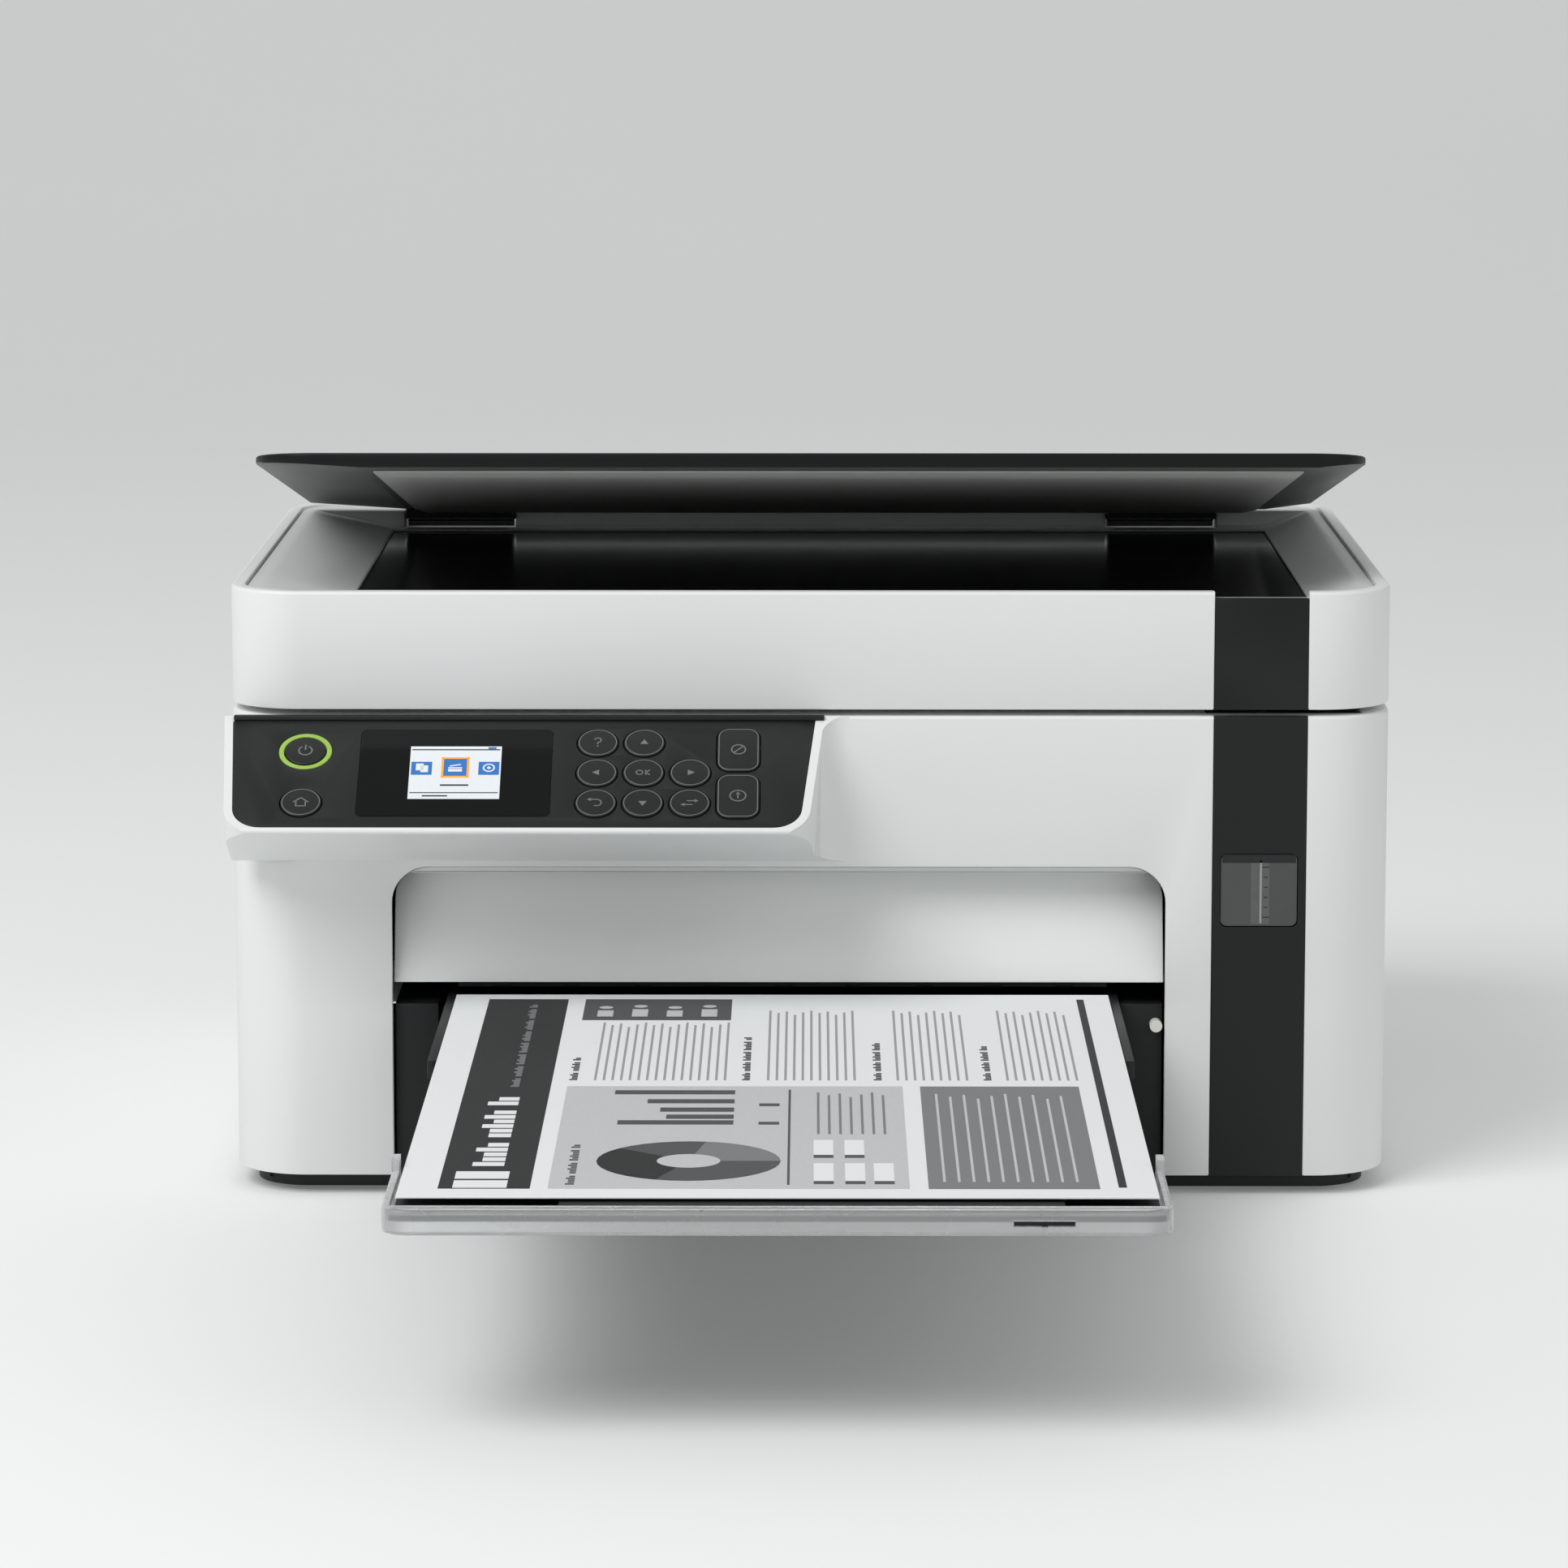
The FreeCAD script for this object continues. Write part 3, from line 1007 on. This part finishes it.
def make_tray():
    inner = inside(TRAY_X, "tray_wall + slide_gap")
    plate = box("tray_plate", inner, MAIN_Y, ("tray_low + 0.4", "tray_low + 0.4 + plate"))
    rails = [
        box(f"tray_rail_{k}", x, (f"{MAIN_Y[0]} + 62", MAIN_Y[1]), ("tray_low + 0.4", f"{TRAY_TOP} - 1"))
        for k, x in enumerate(((TRAY_X[0], f"{inner[0]} + 0.1"), (f"{inner[1]} - 0.1", TRAY_X[1])))
    ]
    node(fuse("tray", plate, *rails), "output_tray")


def make_reach():
    """The dark sliding plate and, fixed to its front, the clear U-shaped bar."""
    inner = inside(TRAY_X, "tray_wall + 1.5 * slide_gap")
    low = "(tray_low + 0.4 + plate + 0.4)"
    y = (f"{REACH_FRONT} + reach_bar", f"{REACH_FRONT} + reach_long")
    plate = box("reach_plate", inner, y, (low, f"{low} + plate"))
    ribs = [
        box(f"reach_rib_{k}", (f"{inner[0]} + 16 + {k} * ({inner[1]} - {inner[0]} - 35) / 5",
                               f"{inner[0]} + 19 + {k} * ({inner[1]} - {inner[0]} - 35) / 5"),
            (f"{y[0]} + 26", f"{y[1]} - 4"), (f"{low} + plate - 0.1", f"{TRAY_TOP} + 0.2"))
        for k in range(6)
    ]
    node(fuse("reach", plate, *ribs), "tray_extension")
    outer = soften(
        pad("clear_outer", "XY", rectangle(TRAY_X, (REACH_FRONT, f"{REACH_FRONT} + reach_arm")),
            ("tray_low", TRAY_TOP)),
        "8", both(along("Z"), beyond("Y", number(REACH_FRONT) + size("reach_arm") / 2, -1)),
    )
    soften(outer, "1", both(level("Z", size("tray_low") + size("tray_tall")),
                            beyond("Y", number(REACH_FRONT) + size("reach_arm") - 1, -1)))
    middle = box("clear_middle", inside(TRAY_X, "tray_wall"),
                 (f"{REACH_FRONT} + reach_bar", f"{REACH_FRONT} + reach_arm + 1"), ("tray_low - 1", f"{TRAY_TOP} + 1"))
    fins = [
        box(f"clear_fin_{k}", x, (f"{REACH_FRONT} + reach_arm - 7", f"{REACH_FRONT} + reach_arm"),
            (f"{TRAY_TOP} - 1", "mouth_top - fit_gap"))
        for k, x in enumerate(((TRAY_X[0], f"{TRAY_X[0]} + tray_wall"), (f"{TRAY_X[1]} - tray_wall", TRAY_X[1])))
    ]
    slot = box("clear_slot", (f"{TRAY_X[1]} - 44", f"{TRAY_X[1]} - 27"), (f"{REACH_FRONT} - 1", f"{REACH_FRONT} + 3"),
               ("tray_low + 2.5", "tray_low + 4"))
    node(cut("clear", fuse("clear_finned", cut("clear_u", outer, middle), *fins), slot), "tray_clear_front")


def make_sheet():
    x = inside(TRAY_X, "tray_wall + sheet_gap")
    y = (f"{FRONT} - sheet_out", f"{FRONT} - sheet_out + sheet_long")
    low = f"({TRAY_TOP} + slide_gap)"
    node(box("paper", x, y, (low, f"{low} + sheet_thick")), "printed_sheet")


def make_cassette():
    x = inside(BAY, "guide_wide + 1.2")
    y = (f"({FRONT} + 2)", f"({FRONT} + 2 + cassette_long)")
    z = ("cassette_low", "(cassette_low + cassette_tall)")
    outer = rounded("cassette_outer", x, y, z, "3")
    room = rounded("cassette_room", inside(x, "shell"), (f"{y[0]} + 6", f"{y[1]} - shell"),
                   ("cassette_low + shell", "cassette_low + cassette_tall + 1"), "3")
    grip = soften(
        pad("cassette_grip", "XZ",
            rectangle((f"({x[0]} + {x[1]}) / 2 - 40", f"({x[0]} + {x[1]}) / 2 + 40"),
                      ("cassette_low - 1", "cassette_low + 15")),
            (f"{y[0]} - 1", f"{y[0]} + 4")),
        "5", both(along("Y"), beyond("Z", size("cassette_low") + 8, 1)),
    )
    node(cut("cassette", outer, room, grip), "paper_cassette")


# ---------------------------------------------------------------- scanner unit
UNIT_LOW = "(case_top + seam)"
BEZEL_FLOOR = f"({RIM_TOP} - bezel_drop)"
BEZEL_LOW = f"({BEZEL_FLOOR} - bezel_tall)"
GLASS_X = (f"({LEFT} + glass_left)", f"({RIGHT} - glass_right)")
GLASS_Y = (f"({FRONT} + glass_front)", f"({FRONT} + glass_front + glass_deep)")
LEDGE_Y = f"({HINGE_Y} - 8)"
HINGE_X = [("(-ridge_half - hinge_wide)", "(-ridge_half)"), ("(ridge_half)", "(ridge_half + hinge_wide)")]
UNIT_AXIS = (f"({UNIT_BACK} + 8)", "(case_top + 9)")
SCAN_ROD = (f"({FRONT} + glass_front + glass_deep / 2)", f"({UNIT_LOW} + 9)")


def make_scanner_base():
    outer = rounded("unit_outer", (LEFT, RIGHT), (FRONT, UNIT_BACK), (UNIT_LOW, RIM_TOP),
                    "corner_round", "edge_round")
    inner = rounded("unit_inner", inside((LEFT, RIGHT), "rim"), inside((FRONT, UNIT_BACK), "rim"),
                    (f"{UNIT_LOW} + 3", f"{RIM_TOP} + 1"), "corner_round - rim")
    notch = box("unit_notch", COLUMN, (f"{FRONT} - 1", f"{FRONT} + rim - 1"), (f"{UNIT_LOW} - 1", f"{RIM_TOP} + 1"))
    crest = box("unit_crest", COLUMN, (f"{FRONT} - 1", f"{FRONT} + rim + 1"),
                (f"{RIM_TOP} - rim_notch", f"{RIM_TOP} + 1"))
    shell = cut("unit_shell", outer, inner, notch, crest)
    lugs = []
    for k, side in enumerate(("-1", "1")):
        mid = f"({side} * (case_wide / 2 - 40))"
        arm = box(f"unit_arm_{k}", (f"{mid} - 8", f"{mid} + 8"), (f"{UNIT_BACK} - 1", UNIT_AXIS[0]),
                  (f"{UNIT_AXIS[1]} - 3.5", f"{UNIT_AXIS[1]} + 3.5"))
        knuckle = rod(f"unit_knuckle_{k}", "X", UNIT_AXIS, (f"{mid} - 8", f"{mid} + 8"), "3.5")
        pin = rod(f"unit_pin_{k}", "X", UNIT_AXIS, (f"{mid} - 12", f"{mid} + 12"), "1.5")
        lugs += [arm, knuckle, pin]
    node(fuse("unit", shell, *lugs), "scanner_base")
    strip = box("unit_strip", inside(COLUMN, "0.15"), (FRONT, f"{FRONT} + rim - 1.1"),
                (UNIT_LOW, f"{RIM_TOP} - rim_notch"))
    node(strip, "scanner_column_trim")


def make_hinge_ears():
    """Ears on the lower body's deck that hold the scanner unit's hinge pins."""
    ears = []
    for k, side in enumerate(("-1", "1")):
        mid = f"({side} * (case_wide / 2 - 40))"
        for j, (low, high) in enumerate((("-11.5", "-8.5"), ("8.5", "11.5"))):
            ear = box(f"ear_{k}_{j}", (f"{mid} + {low}", f"{mid} + {high}"),
                      (f"{UNIT_AXIS[0]} - 4", f"{UNIT_AXIS[0]} + 4"), ("case_top - 1", f"{UNIT_AXIS[1]} + 4"))
            ears.append(ear)
    pins = [rod(f"ear_hole_{k}", "X", UNIT_AXIS, (f"{side} * (case_wide / 2 - 40) - 14",
                                                  f"{side} * (case_wide / 2 - 40) + 14"), "1.5 + run_gap")
            for k, side in enumerate(("-1", "1"))]
    return ears, pins


def make_bezel():
    x = inside((LEFT, RIGHT), "rim + fit_gap")
    y = inside((FRONT, UNIT_BACK), "rim + fit_gap")
    block = rounded("bezel_block", x, y, (BEZEL_LOW, f"{RIM_TOP} - 1"), "corner_round - rim - fit_gap")
    dish = pad(
        "bezel_dish", "XZ",
        [
            (f"{LEFT} + flank", f"{RIM_TOP} - 0.9"),
            (f"{LEFT} + flank + ramp_left", BEZEL_FLOOR),
            (f"{RIGHT} - flank - ramp_right", BEZEL_FLOOR),
            (f"{RIGHT} - flank", f"{RIM_TOP} - 0.9"),
        ],
        (f"{FRONT} + rim", LEDGE_Y),
    )
    window = box("bezel_window", GLASS_X, GLASS_Y, (f"{BEZEL_LOW} - 1", f"{RIM_TOP} + 1"))
    seat = box("bezel_seat", inside(GLASS_X, "-glass_seat"), inside(GLASS_Y, "-glass_seat"),
               (f"{BEZEL_LOW} - 1", f"{BEZEL_FLOOR} - 0.8"))
    pockets = [box(f"bezel_pocket_{k}", span, (f"{LEDGE_Y} - 6", f"{HINGE_Y} + 9"),
                   (f"{BEZEL_LOW} - 1", f"{RIM_TOP} + 1")) for k, span in enumerate(HINGE_X)]
    pins = [rod(f"bezel_pin_hole_{k}", "X", (HINGE_Y, HINGE_Z), (f"{span[0]} - 4", f"{span[1]} + 4"),
                "hinge_pin + run_gap") for k, span in enumerate(HINGE_X)]
    node(cut("bezel", block, dish, window, seat, *pockets, *pins), "scanner_bezel")
    glass = box("pane", inside(GLASS_X, "-glass_seat + fit_gap"), inside(GLASS_Y, "-glass_seat + fit_gap"),
                (f"{BEZEL_FLOOR} - 0.8 - glass_thick", f"{BEZEL_FLOOR} - 0.8"))
    node(glass, "scanner_glass")


def make_scan_bar():
    x = inside((LEFT, RIGHT), "rim")
    node(rod("bar_rod", "X", SCAN_ROD, x, "scan_rod_radius"), "scan_rod")
    bar_x = (f"({LEFT} + rim + 14)", f"({LEFT} + rim + 14 + bar_wide)")
    top = f"({BEZEL_LOW} - 1.5)"
    bar = rounded("bar_block", bar_x, (f"{GLASS_Y[0]} - 2", f"{GLASS_Y[1]} + 2"), (f"{top} - bar_tall", top), "3")
    lug = box("bar_lug", bar_x, (f"{SCAN_ROD[0]} - 8", f"{SCAN_ROD[0]} + 8"),
              (f"{SCAN_ROD[1]} - 5", f"{top} - bar_tall + 0.5"))
    bore = rod("bar_bore", "X", SCAN_ROD, (f"{bar_x[0]} - 1", f"{bar_x[1]} + 1"), "scan_rod_radius + run_gap")
    node(cut("bar", fuse("bar_lugged", bar, lug), bore), "scan_bar")


# ---------------------------------------------------------------- lid, drawn closed from its hinge axis
LID_TOP = "(hinge_drop + lid_proud)"
LID_FRONT = "(-lid_long)"


def make_lid():
    low = f"({LID_TOP} - lid_thick)"
    points = [
        ("-lid_half", LID_TOP),
        ("-lid_half", f"{LID_TOP} - lid_wing"),
        ("-lid_half + pad_left - 3", low),
        ("lid_half - pad_right + 3", low),
        ("lid_half", f"{LID_TOP} - lid_wing"),
        ("lid_half", LID_TOP),
    ]
    slab = pad("lid_slab", "XZ", points, (LID_FRONT, "-9"))
    soften(slab, "lid_round", both(along("Z"), beyond("Y", -size("lid_long") / 2, -1)))
    soften(slab, "lid_edge", level("Z", number(LID_TOP)))
    arms = []
    for k, span in enumerate(HINGE_X):
        wide = inside(span, "1")
        arms.append(box(f"lid_arm_{k}", wide, ("-14", "2"), ("-2", f"{low} + 2")))
        arms.append(rod(f"lid_barrel_{k}", "X", ("0", "0"), wide, "hinge_radius"))
        arms.append(rod(f"lid_pin_{k}", "X", ("0", "0"), (f"{span[0]} - 3", f"{span[1]} + 3"), "hinge_pin"))
    node(lifted(fuse("lid", slab, *arms)), "lid_cover")
    back = rounded(
        "pad_sheet",
        ("-lid_half + pad_left", "lid_half - pad_right"),
        (f"{LID_FRONT} + pad_front", f"{LID_FRONT} + pad_front + pad_deep"),
        (f"{low} - pad_thick", low), "4",
    )
    node(lifted(back), "lid_pad")


def check_and_write():
    DOC.recompute()
    faulty = [o.Name for o in DOC.Objects if "Invalid" in o.State or "Error" in o.State]
    for thing in NODES:
        if thing.Shape.isNull() or not thing.Shape.isValid() or not thing.Shape.Solids:
            faulty.append(thing.Label)
    if faulty:
        raise SystemExit("failed objects: " + ", ".join(faulty))
    os.makedirs("parts", exist_ok=True)
    for thing in NODES:
        thing.Shape.exportStep(f"parts/{thing.Label}.step")
    print(len(NODES), "nodes written")


make_base()
make_feet()
make_screws()
make_housing()
make_recess_panel()
make_side_guides()
make_column()
make_tank()
make_panel_housing()
make_panel_face()
make_keys()
make_panel_board()
make_frame()
make_belt_drive()
make_carriage()
make_rollers()
make_platen()
make_electrics()
make_rear_cover()
make_tray()
make_reach()
make_sheet()
make_cassette()
make_scanner_base()
make_bezel()
make_scan_bar()
make_lid()
check_and_write()
